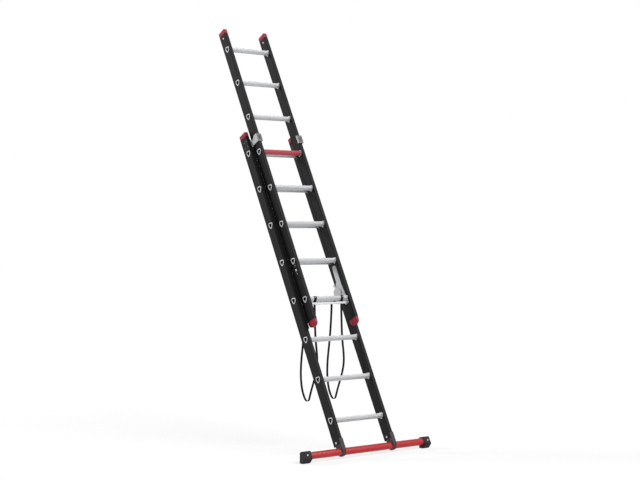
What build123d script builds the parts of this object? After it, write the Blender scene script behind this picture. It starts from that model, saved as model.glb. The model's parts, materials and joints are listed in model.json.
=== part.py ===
"""Two-section extension ladder, leaning: base with stabiliser bar, sliding fly, hooks, guides and straps."""
import os
from math import atan2, cos, hypot, pi, radians, sin, tan

from build123d import *

# Stance, millimetres and degrees
lean = 28.25  # from the vertical
first_rung_height = 230
rung_level_lean = 15  # lean at which the treads are level

# Stiles
stile_depth = 73
stile_thickness = 27
stile_wall = 2
stile_corner = 1.6
bead_width = 4
bead_height = 0.8
rung_forward = 10.5  # rungs sit this far in front of a stile's middle
base_width = 439
fly_width = 369
section_offset = 73.5  # from base rungs to fly rungs, square to the stiles
base_below = 165  # stile below its first rung
fly_below = 152
stile_above = 126  # stile above its last rung

# Rungs
rung_count = 8
rung_pitch = 280
rung_half_width = 18
rung_cheek = 14.8  # half width where the lower sides begin
rung_cheek_drop = 4.5
rung_top = 13
rung_drop = 23
rung_corner = 6
rung_wall = 2
groove_width = 2.4
groove_depth = 0.8
groove_offset = 6
ring_grow = 4.5
ring_stand = 1.6
collar_stand = 2.5

# How far the fly is out, and the play of its hooks on the rung
hook_rung = 4
hook_drop = 25.5  # fly rung 1 below the rung it hangs on
hook_play = 0.3

# Caps
cap_height = 34
cap_round = 7
bottom_cap_height = 42
bottom_cap_corner = 27
bottom_cap_round = 6
plug_length = 30
plug_play = 0.2

# Guide brackets and pads
guide_sheet = 5
guide_low = 40  # above base rung 8
guide_high = 98
guide_tail = 40  # reach back along the base stile
guide_lip = 6
guide_return = 4
guide_step = 30
guide_notch = 15
pad_sheet = 3.5
pad_play = 0.5
pad_window_width = 16
pad_window_height = 26
pad_proud = 0.8

# Glide strips between the sections
strip_sheet = 7
strip_play = 0.4
strip_proud = 2  # in front of the base stile
strip_low = 625  # above base rung 1
strip_below_guide = 1
strip_notch_play = 0.4

# Hook plates
hook_sheet = 5
hook_reach_up = 246  # above fly rung 1
hook_top_width = 28
hook_front = 70
hook_crown = 80  # above the rung that it hangs on
hook_rear = 46
hook_tip_drop = 26
hook_tip_back = 34
hook_shoulder = 70
hook_shoulder_back = 28
hook_widest = 26
hook_neck = 110
hook_foot_drop = 42
hook_foot_front = 12
hook_foot_back = 24
hook_heel_front = 23
hook_waist = 66
hook_chamfer = 18
hook_inset = 8
hook_round = 5
hook_mouth = 43

# Bar that joins the hook plates under fly rung 1
crossbar_height = 14
crossbar_sheet = 5
crossbar_drop = 41  # its lower edge, below fly rung 1
crossbar_back = 2.3  # its front, behind fly rung 1

# Safety catches
catch_sheet = 4
catch_gap = 0.4
catch_pin_radius = 4
catch_pin_play = 0.05
catch_pin_head = 7
catch_pin_head_height = 2
catch_pivot_up = 30  # from the rung that the hook hangs on
catch_pivot_front = 40
catch_arm = 10
catch_toe_drop = 32
catch_toe_reach = 36
catch_tail_up = 72
catch_tail_back = 48
catch_knob = 6
catch_toe_thickness = 7
catch_heel_back = 4
catch_inner = 12
catch_inner_back = 16
catch_round = 2.5

# Stabiliser bar, clamps and feet
bar_size = 44
bar_corner = 18
bar_wall = 2.5
bar_drop = 210  # below base rung 1, along the stile
bar_back = 2
bar_half_length = 505
clamp_sheet = 5
clamp_width = 28
clamp_lap = 36
clamp_bevel = 11
tongue_length = 45
tongue_play = 0.2
bolt_radius = 4
bolt_head_radius = 7.5
bolt_head_height = 5
bolt_up = 17  # above the stile's end
foot_inner = 447
foot_length_top = 62
foot_length_bottom = 68
foot_depth_top = 60
foot_depth_bottom = 68
foot_height = 72
foot_corner = 12
foot_round = 6

# Straps
strap_width = 16
strap_thickness = 2
strap_apart = 220
wrap_width = 20
wrap_play = 0.15
corner_share = 0.45  # of the shorter run that the arc at a route's point takes

# Hand-chosen route of a strap, backwards and upwards from the floor's origin
strap_route = [
    (414, 961), (412, 902), (410, 845), (408, 787), (404, 729), (396, 671), (386, 613), (384, 556),
    (397, 500), (419, 446), (443, 394), (464, 344), (478, 304), (507, 300), (538, 338), (557, 388),
    (566, 443), (567, 502), (562, 560), (553, 618), (543, 676), (535, 734), (528, 792), (523, 850),
    (519, 908), (516.55, 974),
]

# Frame of the leaning ladder: across, up the stiles, out towards the climber
up_y = sin(radians(lean))
up_z = cos(radians(lean))
across = Vector(1, 0, 0)
along = Vector(0, up_y, up_z)
outward = Vector(0, -up_z, up_y)
first_rung = Vector(0, bar_drop * up_y - bar_back * up_z, first_rung_height)

# Places worked out from the sizes above
last_rung = (rung_count - 1) * rung_pitch
hook_at = (hook_rung - 1) * rung_pitch
fly_start = hook_at - hook_drop
base_inner = base_width / 2 - stile_thickness
fly_inner = fly_width / 2 - stile_thickness
fly_front = section_offset - rung_forward + stile_depth / 2
base_front = stile_depth / 2 - rung_forward
bar_up = -bar_drop
bar_out = -bar_back


def place(x, v, w):
    """A point across the ladder, up the stiles and out towards the climber."""
    return first_rung + across * x + along * v + outward * w


def side_plane(x, v=0, w=0):
    """Plane square to the rungs: local x runs up the stiles, local y outwards."""
    return Plane(origin=place(x, v, w), x_dir=along, z_dir=across)


def cross_plane(v, x=0, w=0):
    """Plane square to the stiles: local x runs across, local y inwards."""
    return Plane(origin=place(x, v, w), x_dir=across, z_dir=along)


def tread_plane(x, v, w):
    """Plane square to a rung whose local y is the tread's own up direction."""
    tilt = radians(rung_level_lean)
    front = outward * cos(tilt) - along * sin(tilt)
    return Plane(origin=place(x, v, w), x_dir=front, z_dir=across * -1)


def rung_face(grow=0.0):
    """Rounded three-cornered outline of a rung, grown by a distance."""
    with BuildSketch() as outline:
        with BuildLine():
            FilletPolyline(
                (-rung_half_width, rung_top),
                (rung_half_width, rung_top),
                (rung_cheek, -rung_cheek_drop),
                (0, -rung_drop),
                (-rung_cheek, -rung_cheek_drop),
                radius=rung_corner,
                close=True,
            )
        make_face()
        if grow:
            offset(amount=grow, kind=Kind.ARC)
    return outline.sketch


tube_face = rung_face()
bore_face = rung_face(-rung_wall)
ring_face = rung_face(ring_grow)
play_face = rung_face(hook_play)


def save(piece, name):
    """Labels a finished piece and writes it."""
    piece.part.label = name
    export_step(piece.part, f"parts/{name}.step")


def make_stile(side, width, low, high, middle, rungs):
    """Box profile with beaded webs and a hole for each rung."""
    centre = side * (width - stile_thickness) / 2
    web_depth = stile_depth - 2 * bead_width
    with BuildPart() as stile:
        with BuildSketch(cross_plane(low, centre, middle)):
            RectangleRounded(stile_thickness, stile_depth, stile_corner)
            with Locations((stile_thickness / 2, 0), (-stile_thickness / 2, 0)):
                Rectangle(2 * bead_height, web_depth, mode=Mode.SUBTRACT)
            Rectangle(
                stile_thickness - 2 * stile_wall - 2 * bead_height,
                stile_depth - 2 * stile_wall,
                mode=Mode.SUBTRACT,
            )
        extrude(amount=high - low)
        for rung_up, rung_out in rungs:
            with BuildSketch(tread_plane(centre, rung_up, rung_out)):
                add(tube_face)
            extrude(amount=stile_thickness, both=True, mode=Mode.SUBTRACT)
            for face in (-1, 1):
                web = centre + face * (stile_thickness / 2 - bead_height)
                with BuildSketch(tread_plane(web, rung_up, rung_out)):
                    add(ring_face)
                extrude(amount=-face * stile_wall, mode=Mode.SUBTRACT)
    return stile


def make_rung(width, rung_up, rung_out, collars=True):
    """D tube with a flared ring outside each stile and a bead inside it."""
    reach = width / 2 + ring_stand
    outer_web = width / 2 - bead_height
    inner_web = width / 2 - stile_thickness + bead_height
    bead_end = inner_web - bead_height - collar_stand
    with BuildPart() as rung:
        with BuildSketch(tread_plane(0, rung_up, rung_out)):
            add(tube_face)
        extrude(amount=reach, both=True)
        for side in (-1, 1):
            with BuildSketch(tread_plane(side * outer_web, rung_up, rung_out)):
                add(ring_face)
            extrude(amount=-side * (reach - outer_web))
            if collars:
                with BuildSketch(tread_plane(side * bead_end, rung_up, rung_out)):
                    add(ring_face)
                extrude(amount=-side * (inner_web - bead_end))
        with BuildSketch(tread_plane(0, rung_up, rung_out)):
            with Locations((groove_offset, rung_top), (0, rung_top), (-groove_offset, rung_top)):
                Rectangle(groove_width, 2 * groove_depth)
        extrude(amount=bead_end - collar_stand, both=True, mode=Mode.SUBTRACT)
        with BuildSketch(tread_plane(0, rung_up, rung_out)):
            add(bore_face)
        extrude(amount=reach, both=True, mode=Mode.SUBTRACT)
    return rung


def make_top_cap(side, width, end, middle):
    """Plastic cap flush with the stile, with a plug inside it."""
    centre = side * (width - stile_thickness) / 2
    hollow = stile_thickness - 2 * stile_wall - 2 * bead_height
    with BuildPart() as cap:
        with BuildSketch(cross_plane(end, centre, middle)):
            RectangleRounded(stile_thickness, stile_depth, stile_corner)
        extrude(amount=cap_height)
        top = cap.faces().sort_by(Axis(place(0, 0, 0), along))[-1]
        fillet(top.edges(), radius=cap_round)
        with BuildSketch(cross_plane(end, centre, middle)):
            Rectangle(hollow - 2 * plug_play, stile_depth - 2 * stile_wall - 2 * plug_play)
        extrude(amount=-plug_length)
    return cap


def make_bottom_cap(side, end, middle):
    """Rounded plastic shoe at the fly's lower end, with a plug inside the stile."""
    centre = side * (fly_width - stile_thickness) / 2
    hollow = stile_thickness - 2 * stile_wall - 2 * bead_height
    with BuildPart() as cap:
        with BuildSketch(side_plane(centre)) as outline:
            with Locations((end - bottom_cap_height / 2, middle)):
                Rectangle(bottom_cap_height, stile_depth)
            fillet(outline.vertices().sort_by(Axis.X)[:2], radius=bottom_cap_corner)
        extrude(amount=stile_thickness / 2, both=True)
        rim = cap.faces().filter_by(Axis.X).edges()
        top = cap.faces().sort_by(Axis(place(0, 0, 0), along))[-1].edges()
        fillet(rim - top, radius=bottom_cap_round)
        with BuildSketch(cross_plane(end, centre, middle)):
            Rectangle(hollow - 2 * plug_play, stile_depth - 2 * stile_wall - 2 * plug_play)
        extrude(amount=plug_length)
    return cap


def make_strip(side):
    """Glide strip on the base stile's inner web, notched round the rungs' beads."""
    near = fly_width / 2 + strip_play
    middle = side * (near + base_inner) / 2
    high = last_rung + guide_low - strip_below_guide
    with BuildPart() as strip:
        with BuildSketch(cross_plane(strip_low, middle, base_front + strip_proud - strip_sheet / 2)):
            Rectangle(base_inner - near, strip_sheet)
        extrude(amount=high - strip_low)
        for rung_up, rung_out in base_rungs:
            if strip_low < rung_up < high:
                with BuildSketch(tread_plane(middle, rung_up, rung_out)):
                    add(rung_face(ring_grow + strip_notch_play))
                extrude(amount=base_inner - near, both=True, mode=Mode.SUBTRACT)
    return strip


def make_guide(side):
    """Bent sheet on the base stile's inner web that wraps the fly stile's front."""
    outer = base_inner
    inner = fly_inner - pad_play
    lip_back = fly_front + pad_play + pad_sheet
    lip_front = lip_back + guide_lip
    low = last_rung + guide_low
    high = last_rung + guide_high
    with BuildPart() as guide:
        with BuildSketch(cross_plane(low)):
            with BuildLine():
                Polyline(
                    (side * outer, guide_tail),
                    (side * outer, -lip_front),
                    (side * (inner - guide_sheet), -lip_front),
                    (side * (inner - guide_sheet), -(fly_front - guide_return)),
                    (side * inner, -(fly_front - guide_return)),
                    (side * inner, -lip_back),
                    (side * (outer - guide_sheet), -lip_back),
                    (side * (outer - guide_sheet), guide_tail),
                    close=True,
                )
            make_face()
        extrude(amount=high - low)
        with BuildSketch(side_plane(side * (outer - guide_sheet / 2))):
            with BuildLine():
                Polyline(
                    (high, lip_front - guide_step),
                    (high, base_front),
                    (high - guide_notch, base_front),
                    (low + guide_step, base_front + guide_notch),
                    close=True,
                )
            make_face()
        extrude(amount=guide_sheet, both=True, mode=Mode.SUBTRACT)
        pad_middle = side * (fly_width / 2 - stile_thickness / 2)
        window = Plane(
            origin=place(pad_middle, (low + high) / 2, lip_back), x_dir=across, z_dir=outward
        )
        with BuildSketch(window):
            Rectangle(pad_window_width, pad_window_height)
        extrude(amount=guide_lip, mode=Mode.SUBTRACT)
    with BuildPart() as pad:
        back = Plane(
            origin=place(pad_middle, (low + high) / 2, fly_front + pad_play),
            x_dir=across,
            z_dir=outward,
        )
        with BuildSketch(back):
            Rectangle(stile_thickness, high - low)
        extrude(amount=pad_sheet)
        with BuildSketch(window):
            Rectangle(pad_window_width, pad_window_height)
        extrude(amount=guide_lip + pad_proud)
    return guide, pad


def make_hook(side):
    """Plate on the fly stile's inner web with a hook over a base rung."""
    face = fly_inner - hook_sheet / 2
    top = fly_start + hook_reach_up
    rear = section_offset - rung_forward - stile_depth / 2 + hook_inset
    with BuildPart() as hook:
        with BuildSketch(side_plane(side * face)):
            with BuildLine():
                FilletPolyline(
                    (top, rear),
                    (top, rear + hook_top_width),
                    (top - hook_chamfer, hook_front),
                    (hook_at + hook_waist, hook_front),
                    (fly_start - hook_foot_drop, section_offset + hook_foot_front),
                    (fly_start - hook_foot_drop, section_offset - hook_foot_back),
                    (hook_at - hook_tip_drop, hook_heel_front),
                    (hook_at - hook_tip_drop, -hook_tip_back),
                    (hook_at + hook_widest, -hook_rear),
                    (hook_at + hook_shoulder, -hook_shoulder_back),
                    (hook_at + hook_crown, 0),
                    (hook_at + hook_neck, rear - hook_inset),
                    radius=hook_round,
                    close=True,
                )
            make_face()
        extrude(amount=hook_sheet / 2, both=True)
        with BuildSketch(side_plane(side * face)):
            with Locations((hook_at - hook_crown / 2, 0)):
                Rectangle(hook_crown, hook_mouth)
        extrude(amount=hook_sheet, both=True, mode=Mode.SUBTRACT)
        with BuildSketch(tread_plane(side * face, hook_at, 0)):
            add(play_face)
        extrude(amount=hook_sheet, both=True, mode=Mode.SUBTRACT)
        with BuildSketch(tread_plane(side * face, fly_start, section_offset)):
            add(tube_face)
        extrude(amount=hook_sheet, both=True, mode=Mode.SUBTRACT)
        with BuildSketch(side_plane(side * face, hook_at + catch_pivot_up, catch_pivot_front)):
            Circle(catch_pin_radius)
        extrude(amount=hook_sheet, both=True, mode=Mode.SUBTRACT)
    return hook


def make_crossbar():
    """Flat bar between the two hook plates' feet."""
    low = fly_start - crossbar_drop
    middle = section_offset - crossbar_back - crossbar_sheet / 2
    with BuildPart() as crossbar:
        with BuildSketch(side_plane(0, low + crossbar_height / 2, middle)):
            Rectangle(crossbar_height, crossbar_sheet)
        extrude(amount=fly_inner - hook_sheet, both=True)
    return crossbar


def make_catch(side):
    """Pivoting safety catch whose toe lies under the rung, and its pin."""
    near = fly_inner - hook_sheet - catch_gap
    pivot_up = hook_at + catch_pivot_up
    toe = -catch_pivot_up - catch_toe_drop
    with BuildPart() as catch:
        with BuildSketch(side_plane(side * near, pivot_up, catch_pivot_front)):
            with BuildLine():
                FilletPolyline(
                    (catch_tail_up, -catch_tail_back - catch_knob),
                    (catch_tail_up, -catch_tail_back + catch_knob),
                    (catch_arm, catch_arm),
                    (toe, -catch_heel_back),
                    (toe, -catch_toe_reach),
                    (toe + catch_toe_thickness, -catch_toe_reach),
                    (toe + catch_inner, -catch_inner_back),
                    (-catch_arm, -catch_arm),
                    radius=catch_round,
                    close=True,
                )
            make_face()
            Circle(catch_pin_radius + catch_pin_play, mode=Mode.SUBTRACT)
        extrude(amount=-side * catch_sheet)
    with BuildPart() as pin:
        start = fly_inner - hook_sheet
        with BuildSketch(side_plane(side * fly_inner, pivot_up, catch_pivot_front)):
            Circle(catch_pin_radius)
        extrude(amount=-side * (hook_sheet + 2 * catch_gap + catch_sheet))
        head = start - 2 * catch_gap - catch_sheet
        with BuildSketch(side_plane(side * head, pivot_up, catch_pivot_front)):
            Circle(catch_pin_head)
        extrude(amount=-side * catch_pin_head_height)
    return catch, pin


def make_clamp(side):
    """Saddle round the bar with a tongue up inside the base stile."""
    middle = side * (base_width - stile_thickness) / 2
    stile_end = -base_below
    front = base_front
    under = bar_up - bar_size / 2 - clamp_sheet
    rear = bar_out - bar_size / 2 - clamp_sheet
    hollow = stile_thickness - 2 * stile_wall - 2 * bead_height
    with BuildPart() as clamp:
        with BuildSketch(side_plane(middle)):
            with BuildLine():
                Polyline(
                    (stile_end, rear),
                    (stile_end, front),
                    (stile_end + clamp_lap, front),
                    (stile_end + clamp_lap, front + clamp_sheet),
                    (bar_up, front + clamp_sheet),
                    (under, bar_out + clamp_bevel),
                    (under, rear + clamp_bevel),
                    (bar_up - clamp_bevel, rear),
                    close=True,
                )
            make_face()
            with Locations((bar_up, bar_out)):
                RectangleRounded(bar_size, bar_size, bar_corner, mode=Mode.SUBTRACT)
        extrude(amount=clamp_width / 2, both=True)
        with BuildSketch(cross_plane(stile_end, middle, -rung_forward)):
            Rectangle(hollow - 2 * tongue_play, stile_depth - 2 * stile_wall - 2 * tongue_play)
        extrude(amount=tongue_length)
        with BuildSketch(side_plane(middle, stile_end + bolt_up, -rung_forward)):
            Circle(bolt_radius)
        extrude(amount=stile_thickness, both=True, mode=Mode.SUBTRACT)
    with BuildPart() as bolt:
        half = stile_thickness / 2 - bead_height
        with BuildSketch(side_plane(middle, stile_end + bolt_up, -rung_forward)):
            Circle(bolt_radius)
        extrude(amount=half, both=True)
        for end in (-1, 1):
            with BuildSketch(side_plane(middle + end * half, stile_end + bolt_up, -rung_forward)):
                Circle(bolt_head_radius)
            extrude(amount=end * bolt_head_height)
    return clamp, bolt


def make_foot(side):
    """Rubber boot that spreads from the bar's end to the floor."""
    bottom = side * (foot_inner + foot_length_bottom / 2)
    top = side * (foot_inner + foot_length_top / 2)
    with BuildPart() as foot:
        with BuildSketch(Plane.XY):
            with Locations((bottom, 0)):
                RectangleRounded(foot_length_bottom, foot_depth_bottom, foot_corner)
        with BuildSketch(Plane.XY.offset(foot_height)):
            with Locations((top, 0)):
                RectangleRounded(foot_length_top, foot_depth_top, foot_corner)
        loft()
        fillet(foot.faces().sort_by(Axis.Z)[-1].edges(), radius=foot_round)
        with BuildSketch(side_plane(side * foot_inner, bar_up, bar_out)):
            RectangleRounded(bar_size, bar_size, bar_corner)
        extrude(amount=side * (bar_half_length - foot_inner), mode=Mode.SUBTRACT)
    return foot


def make_wrap(side, rung_up, rung_out):
    """Strap end looped round a rung."""
    with BuildPart() as wrap:
        with BuildSketch(tread_plane(side * strap_apart / 2, rung_up, rung_out)):
            add(rung_face(wrap_play + strap_thickness))
            add(rung_face(wrap_play), mode=Mode.SUBTRACT)
        extrude(amount=wrap_width / 2, both=True)
    return wrap


def corner_radii(route):
    """Radius of the arc at each inner point of a route."""
    radii = []
    for before, at, after in zip(route, route[1:], route[2:]):
        run_in = hypot(at[0] - before[0], at[1] - before[1])
        run_out = hypot(after[0] - at[0], after[1] - at[1])
        heading_in = atan2(at[1] - before[1], at[0] - before[0])
        heading_out = atan2(after[1] - at[1], after[0] - at[0])
        turn = abs((heading_out - heading_in + pi) % (2 * pi) - pi)
        radii.append(corner_share * min(run_in, run_out) / tan(turn / 2))
    return radii


def make_strap(side):
    """Flat webbing along its route, in a plane square to the rungs."""
    plane = Plane(origin=(side * strap_apart / 2, 0, 0), x_dir=(0, 1, 0), z_dir=(1, 0, 0))
    with BuildPart() as strap:
        with BuildSketch(plane):
            with BuildLine() as line:
                FilletPolyline(*strap_route, radius=corner_radii(strap_route))
            trace(line_width=strap_thickness)
        extrude(amount=strap_width / 2, both=True)
    return strap, line.wire().length


base_rungs = [(i * rung_pitch, 0) for i in range(rung_count)]
fly_rungs = [(fly_start + i * rung_pitch, section_offset) for i in range(rung_count)]
fly_last = fly_start + last_rung

os.makedirs("parts", exist_ok=True)

for side, hand in ((-1, "left"), (1, "right")):
    base_middle = -rung_forward
    fly_middle = section_offset - rung_forward
    stile = make_stile(
        side, base_width, -base_below, last_rung + stile_above, base_middle, base_rungs
    )
    with BuildPart() as drilled:
        add(stile.part)
        middle = side * (base_width - stile_thickness) / 2
        with BuildSketch(side_plane(middle, -base_below + bolt_up, base_middle)):
            Circle(bolt_radius)
        extrude(amount=stile_thickness, both=True, mode=Mode.SUBTRACT)
    save(drilled, f"base_{hand}_stile")
    save(
        make_stile(
            side, fly_width, fly_start - fly_below, fly_last + stile_above, fly_middle, fly_rungs
        ),
        f"fly_{hand}_stile",
    )
    save(
        make_top_cap(side, base_width, last_rung + stile_above, base_middle),
        f"base_{hand}_top_cap",
    )
    save(
        make_top_cap(side, fly_width, fly_last + stile_above, fly_middle),
        f"fly_{hand}_top_cap",
    )
    save(make_bottom_cap(side, fly_start - fly_below, fly_middle), f"fly_{hand}_bottom_cap")
    save(make_strip(side), f"{hand}_glide_strip")
    guide, pad = make_guide(side)
    save(guide, f"{hand}_guide_bracket")
    save(pad, f"{hand}_guide_pad")
    save(make_hook(side), f"{hand}_hook_plate")
    catch, pin = make_catch(side)
    save(catch, f"{hand}_safety_catch")
    save(pin, f"{hand}_catch_pin")
    clamp, bolt = make_clamp(side)
    save(clamp, f"{hand}_bar_clamp")
    save(bolt, f"{hand}_clamp_bolt")
    save(make_foot(side), f"{hand}_bar_foot")
    save(make_wrap(side, *fly_rungs[0]), f"{hand}_strap_loop")
    save(make_wrap(side, *base_rungs[hook_rung - 1]), f"{hand}_strap_anchor")
    strap, strap_length = make_strap(side)
    save(strap, f"{hand}_strap")

for number in range(rung_count):
    save(make_rung(base_width, *base_rungs[number]), f"base_rung_{number + 1}")
    save(make_rung(fly_width, *fly_rungs[number], collars=number > 0), f"fly_rung_{number + 1}")

with BuildPart() as bar:
    with BuildSketch(side_plane(0, bar_up, bar_out)):
        RectangleRounded(bar_size, bar_size, bar_corner)
        RectangleRounded(
            bar_size - 2 * bar_wall, bar_size - 2 * bar_wall, bar_corner - bar_wall, mode=Mode.SUBTRACT
        )
    extrude(amount=bar_half_length, both=True)
save(bar, "stabiliser_bar")
save(make_crossbar(), "hook_crossbar")

print("strap length", round(strap_length))
print("strap bend radii", [round(radius) for radius in corner_radii(strap_route)])
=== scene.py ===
import json
from math import atan2, cos, pi, radians, sin

import bmesh
import bpy
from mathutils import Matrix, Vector


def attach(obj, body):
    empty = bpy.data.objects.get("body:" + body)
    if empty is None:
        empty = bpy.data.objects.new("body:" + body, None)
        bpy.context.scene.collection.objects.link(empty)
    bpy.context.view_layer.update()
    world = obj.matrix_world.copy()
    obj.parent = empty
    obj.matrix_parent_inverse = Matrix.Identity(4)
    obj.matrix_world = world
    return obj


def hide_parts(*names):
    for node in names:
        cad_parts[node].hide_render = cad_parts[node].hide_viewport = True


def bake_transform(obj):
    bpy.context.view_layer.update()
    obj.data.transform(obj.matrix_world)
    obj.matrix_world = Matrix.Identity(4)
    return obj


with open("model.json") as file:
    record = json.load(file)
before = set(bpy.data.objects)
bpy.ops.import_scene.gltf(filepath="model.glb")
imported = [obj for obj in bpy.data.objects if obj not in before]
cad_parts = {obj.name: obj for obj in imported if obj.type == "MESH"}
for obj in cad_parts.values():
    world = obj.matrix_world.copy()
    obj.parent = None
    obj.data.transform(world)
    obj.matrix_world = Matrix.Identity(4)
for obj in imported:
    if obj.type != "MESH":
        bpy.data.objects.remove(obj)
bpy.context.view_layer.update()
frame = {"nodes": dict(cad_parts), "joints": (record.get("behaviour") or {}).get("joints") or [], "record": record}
nodes = frame["nodes"]
slot_of = {part["node"]: part["material_slot"] for part in frame["record"]["subparts"]}

# The leaning ladder's own axes, metres: across, up the stiles and out towards the climber
across = Vector((1, 0, 0))
along = Vector(frame["joints"][0]["axis"]).normalized()
outward = across.cross(along)
first_rung = Vector((0, 0.0976, 0.230))
rung_pitch = 0.280
base_half = 0.2195
fly_half = 0.1845
stile_thickness = 0.027
web_recess = 0.0008
bead_width = 0.004
rung_sleeve = 0.036
strap_half_apart = 0.110
fly_start = 0.8145
fly_out = 0.0735
last_rung = 7 * rung_pitch


def place(x, v, w):
    """A point across the ladder, up the stiles and out towards the climber."""
    return first_rung + across * x + along * v + outward * w


def new_material(name):
    """A material, with its node tree and its shader."""
    material = bpy.data.materials.new(name)
    material.use_nodes = True
    tree = material.node_tree
    shader = tree.nodes["Principled BSDF"]
    return material, tree, shader


def noise(tree, scale, stretch):
    """Noise in the object's own space, drawn out along an axis where stretch is small."""
    coords = tree.nodes.new("ShaderNodeTexCoord")
    mapping = tree.nodes.new("ShaderNodeMapping")
    mapping.inputs["Scale"].default_value = stretch
    texture = tree.nodes.new("ShaderNodeTexNoise")
    texture.inputs["Scale"].default_value = scale
    texture.inputs["Detail"].default_value = 3.0
    tree.links.new(coords.outputs["Object"], mapping.inputs["Vector"])
    tree.links.new(mapping.outputs["Vector"], texture.inputs["Vector"])
    return texture


def ramp(tree, source, low, high, start=0.3, end=0.7):
    """A colour that runs from low to high as the source grows."""
    colours = tree.nodes.new("ShaderNodeValToRGB")
    colours.color_ramp.elements[0].position = start
    colours.color_ramp.elements[0].color = (*low, 1)
    colours.color_ramp.elements[1].position = end
    colours.color_ramp.elements[1].color = (*high, 1)
    tree.links.new(source, colours.inputs["Fac"])
    return colours.outputs["Color"]


def bump(tree, shader, source, strength, distance):
    """Fine relief from a texture."""
    relief = tree.nodes.new("ShaderNodeBump")
    relief.inputs["Strength"].default_value = strength
    relief.inputs["Distance"].default_value = distance
    tree.links.new(source, relief.inputs["Height"])
    tree.links.new(relief.outputs["Normal"], shader.inputs["Normal"])


def plain_finish(
    name, low, high, roughness, grain, relief, relief_depth, metallic=0.0, stretch=(1, 1, 1), shine=0.5
):
    """A finish that varies a little from low to high in colour, with fine relief of the same grain."""
    material, tree, shader = new_material(name)
    texture = noise(tree, grain, stretch)
    tree.links.new(ramp(tree, texture.outputs["Fac"], low, high), shader.inputs["Base Color"])
    shader.inputs["Roughness"].default_value = roughness
    shader.inputs["Metallic"].default_value = metallic
    shader.inputs["Specular IOR Level"].default_value = shine
    bump(tree, shader, texture.outputs["Fac"], relief, relief_depth)
    return material


def webbing_finish():
    """Black woven strap: a fine weave of two tones."""
    material, tree, shader = new_material("strap_webbing")
    weave = tree.nodes.new("ShaderNodeTexChecker")
    weave.inputs["Scale"].default_value = 900
    weave.inputs["Color1"].default_value = (0.006, 0.006, 0.006, 1)
    weave.inputs["Color2"].default_value = (0.016, 0.016, 0.017, 1)
    coords = tree.nodes.new("ShaderNodeTexCoord")
    tree.links.new(coords.outputs["Object"], weave.inputs["Vector"])
    tree.links.new(weave.outputs["Color"], shader.inputs["Base Color"])
    shader.inputs["Roughness"].default_value = 0.85
    shader.inputs["Specular IOR Level"].default_value = 0.1
    bump(tree, shader, weave.outputs["Fac"], 0.3, 0.0004)
    return material


materials = {
    "stile_black": plain_finish(
        "stile_black", (0.007, 0.0073, 0.007), (0.012, 0.0125, 0.012),
        roughness=0.36, grain=700, relief=0.12, relief_depth=0.0003, shine=0.08,
    ),
    "rung_aluminium": plain_finish(
        "rung_aluminium", (0.44, 0.445, 0.46), (0.55, 0.555, 0.57),
        roughness=0.42, metallic=0.3, grain=500, relief=0.10, relief_depth=0.0002, stretch=(0.02, 1, 1),
    ),
    "rung_red": plain_finish(
        "rung_red", (0.34, 0.032, 0.050), (0.44, 0.052, 0.072),
        roughness=0.4, grain=500, relief=0.08, relief_depth=0.0002, stretch=(0.05, 1, 1),
    ),
    "cap_red": plain_finish(
        "cap_red", (0.25, 0.009, 0.022), (0.32, 0.015, 0.031),
        roughness=0.4, grain=300, relief=0.10, relief_depth=0.0003, shine=0.15,
    ),
    "plate_grey": plain_finish(
        "plate_grey", (0.38, 0.385, 0.39), (0.47, 0.475, 0.48),
        roughness=0.5, metallic=0.3, grain=250, relief=0.08, relief_depth=0.0002,
    ),
    "pad_black": plain_finish(
        "pad_black", (0.010, 0.010, 0.010), (0.018, 0.018, 0.018),
        roughness=0.6, grain=400, relief=0.15, relief_depth=0.0003, shine=0.2,
    ),
    "pad_grey": plain_finish(
        "pad_grey", (0.07, 0.07, 0.07), (0.09, 0.09, 0.09),
        roughness=0.6, grain=400, relief=0.15, relief_depth=0.0003, shine=0.2,
    ),
    "clamp_black": plain_finish(
        "clamp_black", (0.035, 0.030, 0.031), (0.055, 0.048, 0.05),
        roughness=0.5, grain=500, relief=0.10, relief_depth=0.0003, shine=0.15,
    ),
    "foot_rubber": plain_finish(
        "foot_rubber", (0.012, 0.012, 0.012), (0.025, 0.025, 0.026),
        roughness=0.65, grain=350, relief=0.25, relief_depth=0.0004, shine=0.15,
    ),
    "bolt_steel": plain_finish(
        "bolt_steel", (0.40, 0.40, 0.40), (0.55, 0.55, 0.55),
        roughness=0.35, metallic=0.6, grain=600, relief=0.06, relief_depth=0.0001,
    ),
    "rivet_dull": plain_finish(
        "rivet_dull", (0.14, 0.14, 0.14), (0.20, 0.20, 0.20),
        roughness=0.45, metallic=0.3, grain=600, relief=0.06, relief_depth=0.0001,
    ),
    "bar_red": plain_finish(
        "bar_red", (0.34, 0.012, 0.014), (0.42, 0.019, 0.021),
        roughness=0.24, grain=450, relief=0.06, relief_depth=0.0002, stretch=(0.1, 1, 1), shine=0.3,
    ),
    "strap_webbing": webbing_finish(),
}
# Painted shade, black, for the inside of the rungs' tubes
bore_painted_shade = plain_finish(
    "bore_painted_shade", (0.006, 0.006, 0.006), (0.012, 0.012, 0.012),
    roughness=0.7, grain=300, relief=0.05, relief_depth=0.0002,
)
bracket_side = plain_finish(
    "bracket_side", (0.38, 0.38, 0.38), (0.45, 0.45, 0.45),
    roughness=0.5, metallic=0.2, grain=250, relief=0.08, relief_depth=0.0002, shine=0.3,
)
# Painted shade for the guide brackets' fronts, darker than the grey of their sides
bracket_front_painted_shade = plain_finish(
    "bracket_front_painted_shade", (0.11, 0.11, 0.11), (0.14, 0.14, 0.14),
    roughness=0.5, metallic=0.2, grain=250, relief=0.08, relief_depth=0.0002, shine=0.2,
)
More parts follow.
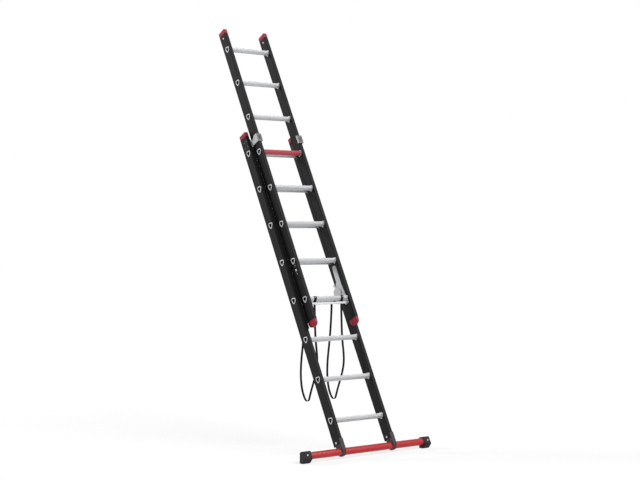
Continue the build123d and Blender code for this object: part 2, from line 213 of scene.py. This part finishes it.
# Painted shade, near black, for the stiles' raised edges and rounded corners
edge_painted_shade = plain_finish(
    "edge_painted_shade", (0.002, 0.002, 0.002), (0.004, 0.004, 0.004),
    roughness=0.6, grain=300, relief=0.02, relief_depth=0.0002, shine=0.05,
)

# How far a face's normal goes along an axis, from 0 to 1, where the face counts as turned that way
turned_little = 0.1
turned_half = 0.5
turned_well = 0.7


def dress_nodes():
    """Gives every solid its finish, and parts of the rungs, stiles and brackets finishes of their own, painted
    shade among them.
    """
    for name, node in nodes.items():
        node.data.materials.clear()
        node.data.materials.append(materials[slot_of[name]])
        if "rung" in name:
            dress_rung(node)
        if name.endswith("stile"):
            dress_stile(node)
        if name.endswith("guide_bracket"):
            dress_bracket(node)


def dress_rung(node):
    """The tube's inside gets painted shade, black, and its flared ends are bare metal."""
    node.data.materials.append(bore_painted_shade)
    node.data.materials.append(materials["rung_aluminium"])
    corners = [vertex.co for vertex in node.data.vertices]
    middle = sum(corners, Vector()) / len(corners)
    sleeve_end = max(corner.x for corner in corners) - rung_sleeve
    for face in node.data.polygons:
        spoke = face.center - middle
        spoke.x = 0
        if abs(face.normal.x) < turned_half and face.normal.dot(spoke) < 0:
            face.material_index = 1
        elif abs(face.center.x) > sleeve_end:
            face.material_index = 2


def dress_stile(node):
    """The raised edges and rounded corners of the profile get painted shade, blacker than its flat sides."""
    node.data.materials.append(edge_painted_shade)
    depths = [vertex.co.dot(outward) for vertex in node.data.vertices]
    middle = (max(depths) + min(depths)) / 2
    web_reach = (max(depths) - min(depths)) / 2 - bead_width
    for face in node.data.polygons:
        sideways = abs(face.normal.dot(across))
        frontways = abs(face.normal.dot(outward))
        on_edge = abs(face.center.dot(outward) - middle) > web_reach
        if min(sideways, frontways) > turned_little or (on_edge and sideways > turned_half):
            face.material_index = 1


def dress_bracket(node):
    """A guide bracket's front gets painted shade, darker than its sides, and its leg is black towards the middle.
    """
    node.data.materials.clear()
    node.data.materials.append(bracket_side)
    node.data.materials.append(bracket_front_painted_shade)
    node.data.materials.append(materials["pad_black"])
    for face in node.data.polygons:
        if face.normal.dot(outward) > turned_well:
            face.material_index = 1
        inwards = -face.normal.x if face.center.x > 0 else face.normal.x
        if inwards > turned_well and (face.center - first_rung).dot(outward) < fly_out:
            face.material_index = 2


def new_object(name, mesh, finish, body):
    """A rigid piece of the scene, carried by a body."""
    piece = bpy.data.objects.new(name, mesh)
    bpy.context.scene.collection.objects.link(piece)
    mesh.materials.append(materials[finish])
    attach(piece, body)
    return piece


def smooth_mesh(name, shape):
    """The mesh of a built shape, smooth apart from its flat ends, which have more than four corners."""
    mesh = bpy.data.meshes.new(name)
    shape.to_mesh(mesh)
    shape.free()
    for face in mesh.polygons:
        face.use_smooth = len(face.vertices) <= 4
    return mesh


def rivet(name, centre, normal, radius, height, finish, body):
    """A domed rivet or screw head that stands on a face."""
    turn = normal.to_track_quat("Z", "Y")
    rings = 4
    sides = 20
    shape = bmesh.new()
    loops = []
    for ring in range(rings):
        angle = ring * pi / 2 / rings
        loop = []
        for step in range(sides):
            around = 2 * pi * step / sides
            spot = Vector((cos(around), sin(around), 0)) * radius * cos(angle)
            spot.z = height * sin(angle)
            loop.append(shape.verts.new(centre + turn @ spot))
        loops.append(loop)
    crown = shape.verts.new(centre + turn @ Vector((0, 0, height)))
    shape.faces.new(list(reversed(loops[0])))
    for lower, upper in zip(loops, loops[1:]):
        for step in range(sides):
            after = (step + 1) % sides
            shape.faces.new((lower[step], lower[after], upper[after], upper[step]))
    for step in range(sides):
        shape.faces.new((loops[-1][step], loops[-1][(step + 1) % sides], crown))
    return new_object(name, smooth_mesh(name, shape), finish, body)


# Rubber boots on the bar's ends, metres: upright behind, with a front face that leans with the ladder
boot_inner = 0.456
boot_outer = 0.515
boot_lean = 0.006
boot_rounding = 0.0035
boot_screw = 0.4885
# Corners of a boot, backwards and upwards, with their radii, from the sole's front edge round its back
boot_corners = (
    (-0.008, 0.0, 0.008),
    (0.025, 0.0, 0.004),
    (0.031, 0.068, 0.009),
    (-0.012, 0.078, 0.008),
    (-0.0367, 0.032, 0.013),
)
boot_height = max(z for y, z, radius in boot_corners)


def boot_section(inset):
    """Points round a boot as seen along the bar, drawn in by inset."""
    steps = 6
    count = len(boot_corners)
    points = []
    for number, (y, z, radius) in enumerate(boot_corners):
        corner = Vector((y, z))
        before = (corner - Vector(boot_corners[number - 1][:2])).normalized()
        after = (Vector(boot_corners[(number + 1) % count][:2]) - corner).normalized()
        turn = before.angle(after)
        middle = corner + (after - before).normalized() * radius / cos(turn / 2)
        start = atan2(-before.x, before.y)
        for step in range(steps + 1):
            angle = start + turn * step / steps
            points.append(middle + Vector((cos(angle), sin(angle))) * (radius - inset))
    return points


def boot_mesh(name, side):
    """A boot with rounded ends, its outer end leaning in towards the top."""
    steps = 4
    quarter = [step * pi / 2 / steps for step in range(steps + 1)]
    rounded = [(boot_rounding * (1 - sin(angle)), boot_rounding * (1 - cos(angle))) for angle in quarter]
    stations = [(boot_inner + depth, inset, 0) for depth, inset in reversed(rounded)]
    stations += [(boot_outer - depth, inset, boot_lean) for depth, inset in rounded]
    shape = bmesh.new()
    loops = []
    for x, inset, lean in stations:
        loop = []
        for y, z in boot_section(inset):
            loop.append(shape.verts.new((side * (x - lean * z / boot_height), y, z)))
        loops.append(loop)
    count = len(loops[0])
    for lower, upper in zip(loops, loops[1:]):
        for step in range(count):
            after = (step + 1) % count
            shape.faces.new((lower[step], lower[after], upper[after], upper[step]))
    shape.faces.new(loops[0])
    shape.faces.new(list(reversed(loops[-1])))
    bmesh.ops.recalc_face_normals(shape, faces=shape.faces)
    return smooth_mesh(name, shape)


def add_boots():
    """The rubber boots that the ladder stands on."""
    for side, hand in ((-1, "left"), (1, "right")):
        name = f"{hand}_boot"
        piece = new_object(name, boot_mesh(name, side), "foot_rubber", "base")
        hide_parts(f"{hand}_bar_foot")


# Fasteners, metres: places up the stiles and out from the rungs' line, radii and heights
guide_rivet_ups = (0.049, 0.088)
guide_rivet_outs = (-0.0155, 0.0150)
guide_rivet_radius = 0.0045
cap_rivet_up = 0.096
cap_rivet_out = -0.008
cap_rivet_radius = 0.007
hook_rivets = ((0.241, 0.004, 0.004), (0.209, 0.0, 0.0085), (0.183, 0.002, 0.004))
strap_rivet_up = 0.002
strap_rivet_out = 0.0195
strap_rivet_radius = 0.0035
foot_screw_radius = 0.006
foot_screw_height = 0.0035
flat_head = 0.002
round_head = 0.003


def add_fasteners():
    """Rivets of the guides, caps, hooks and straps, and the feet's screws."""
    (top_y, top_z, _), (low_y, low_z, _) = boot_corners[-2:]
    for side, hand in ((-1, "left"), (1, "right")):
        outer_base = side * (base_half - web_recess)
        outer_fly = side * (fly_half - web_recess)
        inner_fly = side * (fly_half - stile_thickness + web_recess)
        away = across * side
        for row, v in enumerate(guide_rivet_ups):
            for column, w in enumerate(guide_rivet_outs):
                spot = place(outer_base, last_rung + v, w)
                name = f"{hand}_guide_rivet_{row}{column}"
                rivet(name, spot, away, guide_rivet_radius, flat_head, "rivet_dull", "base")
        cap_spot = (fly_start + last_rung + cap_rivet_up, fly_out + cap_rivet_out)
        for name, x, facing in (("out", outer_fly, away), ("in", inner_fly, -away)):
            spot = place(x, *cap_spot)
            rivet(f"{hand}_cap_rivet_{name}", spot, facing, cap_rivet_radius, round_head, "bolt_steel", "fly")
        for number, (v, w, radius) in enumerate(hook_rivets):
            spot = place(outer_fly, fly_start + v, fly_out + w)
            rivet(f"{hand}_hook_rivet_{number}", spot, away, radius, round_head, "bolt_steel", "fly")
        spot = place(side * strap_half_apart, fly_start + strap_rivet_up, fly_out + strap_rivet_out)
        rivet(f"{hand}_strap_rivet", spot, outward, strap_rivet_radius, flat_head, "bolt_steel", "fly")
        spot = Vector((side * boot_screw, (top_y + low_y) / 2, (top_z + low_z) / 2))
        rivet(f"{hand}_foot_screw", spot, outward, foot_screw_radius, foot_screw_height, "bolt_steel", "base")


# Route of a strap, metres: backwards and upwards, from the fly's loop down and up to the base's anchor
strap_route = [
    (0.414, 0.961), (0.412, 0.902), (0.410, 0.845), (0.408, 0.787), (0.404, 0.729), (0.396, 0.671),
    (0.386, 0.613), (0.384, 0.556), (0.397, 0.500), (0.419, 0.446), (0.443, 0.394), (0.464, 0.344),
    (0.478, 0.304), (0.507, 0.300), (0.538, 0.338), (0.557, 0.388), (0.566, 0.443), (0.567, 0.502),
    (0.562, 0.560), (0.553, 0.618), (0.543, 0.676), (0.535, 0.734), (0.528, 0.792), (0.523, 0.850),
    (0.519, 0.908), (0.51655, 0.974),
]
strap_width = 0.016
strap_thickness = 0.002


def smooth_route(name, x):
    """Points along the smooth line that the route's points steer."""
    curve = bpy.data.curves.new(name + "_line", "CURVE")
    curve.dimensions = "3D"
    curve.resolution_u = 8
    spline = curve.splines.new("NURBS")
    spline.points.add(len(strap_route) - 1)
    for point, (y, z) in zip(spline.points, strap_route):
        point.co = (x, y, z, 1)
    spline.order_u = 3
    spline.use_endpoint_u = True
    guide = bpy.data.objects.new(name + "_line", curve)
    line = bpy.data.meshes.new_from_object(guide)
    points = [vertex.co.copy() for vertex in line.vertices]
    bpy.data.objects.remove(guide)
    bpy.data.meshes.remove(line)
    return points


def strap_mesh(name, points):
    """Flat webbing that follows the points, its width across the ladder."""
    shape = bmesh.new()
    loops = []
    for number, point in enumerate(points):
        before = points[max(number - 1, 0)]
        after = points[min(number + 1, len(points) - 1)]
        heading = (after - before).normalized()
        thin = across.cross(heading).normalized()
        corners = ((-1, -1), (1, -1), (1, 1), (-1, 1))
        loops.append(
            [
                shape.verts.new(point + across * (i * strap_width / 2) + thin * (j * strap_thickness / 2))
                for i, j in corners
            ]
        )
    for lower, upper in zip(loops, loops[1:]):
        for step in range(4):
            after = (step + 1) % 4
            shape.faces.new((lower[step], upper[step], upper[after], lower[after]))
    shape.faces.new(loops[0])
    shape.faces.new(list(reversed(loops[-1])))
    bmesh.ops.recalc_face_normals(shape, faces=shape.faces)
    mesh = bpy.data.meshes.new(name)
    shape.to_mesh(mesh)
    shape.free()
    mesh.materials.append(materials["strap_webbing"])
    return mesh


def add_straps():
    """The two straps that hang between the fly and the base."""
    for side, hand in ((-1, "left"), (1, "right")):
        x = side * strap_half_apart
        points = smooth_route(f"{hand}_strap", x)
        piece = bpy.data.objects.new(f"{hand}_webbing", strap_mesh(f"{hand}_webbing", points))
        bpy.context.scene.collection.objects.link(piece)
        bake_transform(piece)
        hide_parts(f"{hand}_strap")


# The photograph's viewpoint: metres, degrees, and millimetres for the lens
camera_spot = (-5.278, -6.536, 1.430)
camera_pitch = -0.42
camera_heading = -36.87
camera_lens = 74.45
camera_sensor = 36


def add_camera():
    """A camera at the photograph's viewpoint."""
    camera = bpy.data.cameras.new("camera")
    camera.sensor_width = camera_sensor
    camera.lens = camera_lens
    camera.dof.use_dof = False
    eye = bpy.data.objects.new("camera", camera)
    eye.location = camera_spot
    eye.rotation_euler = (radians(90 + camera_pitch), 0, radians(camera_heading))
    bpy.context.scene.collection.objects.link(eye)
    bpy.context.scene.camera = eye


def add_sun(name, source, energy, width):
    """A soft sun that shines from a point towards the foot of the ladder, width in degrees."""
    light = bpy.data.lights.new(name, "SUN")
    light.energy = energy
    light.angle = radians(width)
    lamp = bpy.data.objects.new(name, light)
    lamp.location = source
    lamp.rotation_euler = (-Vector(source)).to_track_quat("-Z", "Y").to_euler()
    bpy.context.scene.collection.objects.link(lamp)
    return lamp


# The stage: light colours, the floor's half width and drop in metres, and its share of even glow
soft_light = (0.27, 0.27, 0.27)
white = (1, 1, 1)
floor_reach = 40
floor_drop = 0.001
floor_glow = 0.7


def studio_world():
    """Surroundings that look white, seen straight or mirrored, and light the ladder more softly."""
    world = bpy.data.worlds.new("studio")
    world.use_nodes = True
    tree = world.node_tree
    path = tree.nodes.new("ShaderNodeLightPath")
    seen = path.outputs["Is Camera Ray"]
    for kind in ("Is Glossy Ray", "Is Transmission Ray"):
        either = tree.nodes.new("ShaderNodeMath")
        either.operation = "MAXIMUM"
        tree.links.new(seen, either.inputs[0])
        tree.links.new(path.outputs[kind], either.inputs[1])
        seen = either.outputs["Value"]
    shade = ramp(tree, seen, soft_light, white, 0.0, 1.0)
    tree.links.new(shade, tree.nodes["Background"].inputs["Color"])
    return world


def floor_finish():
    """A pale floor that shows only a faint shadow, as the photograph shows none."""
    material = plain_finish(
        "pale_floor", (0.93, 0.93, 0.93), (0.95, 0.95, 0.95),
        roughness=0.9, grain=4, relief=0.0, relief_depth=0.001,
    )
    tree = material.node_tree
    path = tree.nodes.new("ShaderNodeLightPath")
    share = tree.nodes.new("ShaderNodeMath")
    share.operation = "MULTIPLY"
    share.inputs[1].default_value = floor_glow
    glow = tree.nodes.new("ShaderNodeEmission")
    mix = tree.nodes.new("ShaderNodeMixShader")
    tree.links.new(path.outputs["Is Camera Ray"], share.inputs[0])
    tree.links.new(share.outputs["Value"], mix.inputs["Fac"])
    tree.links.new(tree.nodes["Principled BSDF"].outputs["BSDF"], mix.inputs[1])
    tree.links.new(glow.outputs["Emission"], mix.inputs[2])
    tree.links.new(mix.outputs["Shader"], tree.nodes["Material Output"].inputs["Surface"])
    return material


def add_stage():
    """White surroundings, a pale floor and two soft suns."""
    scene = bpy.context.scene
    scene.view_settings.view_transform = "Standard"
    scene.world = studio_world()
    floor_mesh = bpy.data.meshes.new("floor")
    turns = ((-1, -1), (1, -1), (1, 1), (-1, 1))
    corners = [(i * floor_reach, j * floor_reach, 0) for i, j in turns]
    floor_mesh.from_pydata(corners, [], [(0, 1, 2, 3)])
    floor = bpy.data.objects.new("floor", floor_mesh)
    floor.location.z = -floor_drop
    floor_mesh.materials.append(floor_finish())
    scene.collection.objects.link(floor)
    add_sun("key", (2.0, -5.0, 5.5), energy=2.7, width=40)
    add_sun("rim", (-4.0, 4.5, 2.5), energy=1.6, width=12)


dress_nodes()
add_boots()
add_fasteners()
add_straps()
add_camera()
add_stage()
